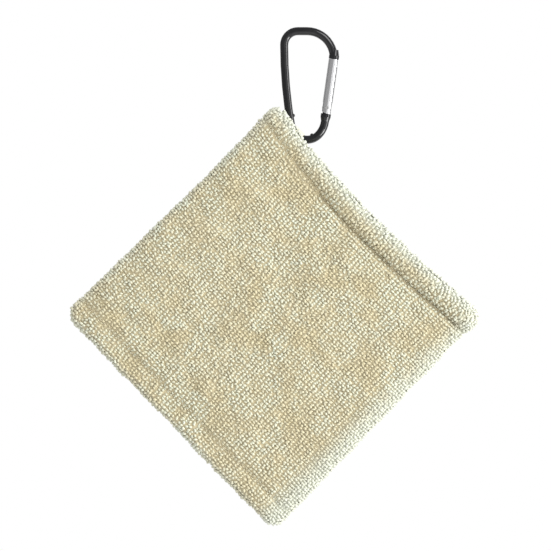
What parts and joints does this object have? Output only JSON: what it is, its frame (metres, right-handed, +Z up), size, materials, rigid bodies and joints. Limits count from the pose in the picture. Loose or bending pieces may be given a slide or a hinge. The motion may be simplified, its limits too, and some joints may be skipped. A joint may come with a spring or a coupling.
{
  "type": "golf towel",
  "caption": "Small square pouch of looped terry cloth that hangs by one corner from a D-shaped spring-gate clip, for wiping golf balls and clubs.",
  "frame": {"origin": "underside of the clip's top bar, the point that hangs on a hook, ring or belt loop", "axes": "+Z up as it hangs, the towel's face looks along -Y, and its open mouth is the edge that slopes down from the clip towards +X"},
  "size_m": [0.2048, 0.0227, 0.2483],
  "materials": {
    "black_bar": "bent aluminium bar, black gloss anodised",
    "gate_silver": "plain polished aluminium",
    "rivet_steel": "bright steel",
    "spring_steel": "drawn spring wire",
    "terry": "cream looped microfibre terry, matte",
    "tape": "woven cream tape",
    "thread": "cream sewing thread"
  },
  "bodies": {
    "clip": {"clip_body": "black_bar"},
    "gate": {"gate_sleeve": "gate_silver", "hinge_rivet": "rivet_steel", "gate_spring": "spring_steel"},
    "plunger": {"gate_plunger": "rivet_steel"},
    "loop": {"loop_tape": "tape"},
    "towel": {"loop_bar_tack": "thread", "front_panel": "terry", "back_panel": "terry", "mouth_hem_front": "terry", "mouth_hem_back": "terry", "side_seam": "terry", "side_fold": "terry", "bottom_hem": "terry", "mouth_stitching_front": "thread", "mouth_stitching_back": "thread", "bottom_stitching_front": "thread", "bottom_stitching_back": "thread"}
  },
  "joints": [
    {"name": "gate_hinge", "type": "hinge", "parent": "clip", "child": "gate", "pos_m": [0.01197, 0, -0.0365], "axis": [0, -1, 0], "range_deg": [0, 24], "stiffness_Nm_per_rad": 0.01, "springref_deg": -11.46},
    {"name": "plunger_slide", "type": "slide", "parent": "gate", "child": "plunger", "axis": [0.1392, 0, 0.9903], "range_m": [0, 0.0003], "deforming": ["gate_spring"]},
    {"name": "loop_turn", "type": "hinge", "parent": "clip", "child": "loop", "pos_m": [-0.0037, 0, -0.05006], "axis": [0.6947, 0, -0.7193], "range_deg": [0, 75]},
    {"name": "towel_swing", "type": "hinge", "parent": "loop", "child": "towel", "pos_m": [-0.01018, 0, -0.05631], "axis": [0, 1, 0], "range_deg": [-30, 30]}
  ],
  "couplings": [
    {"joint": "plunger_slide", "follows": "gate_hinge", "m_per_rad": 0.00055}
  ]
}
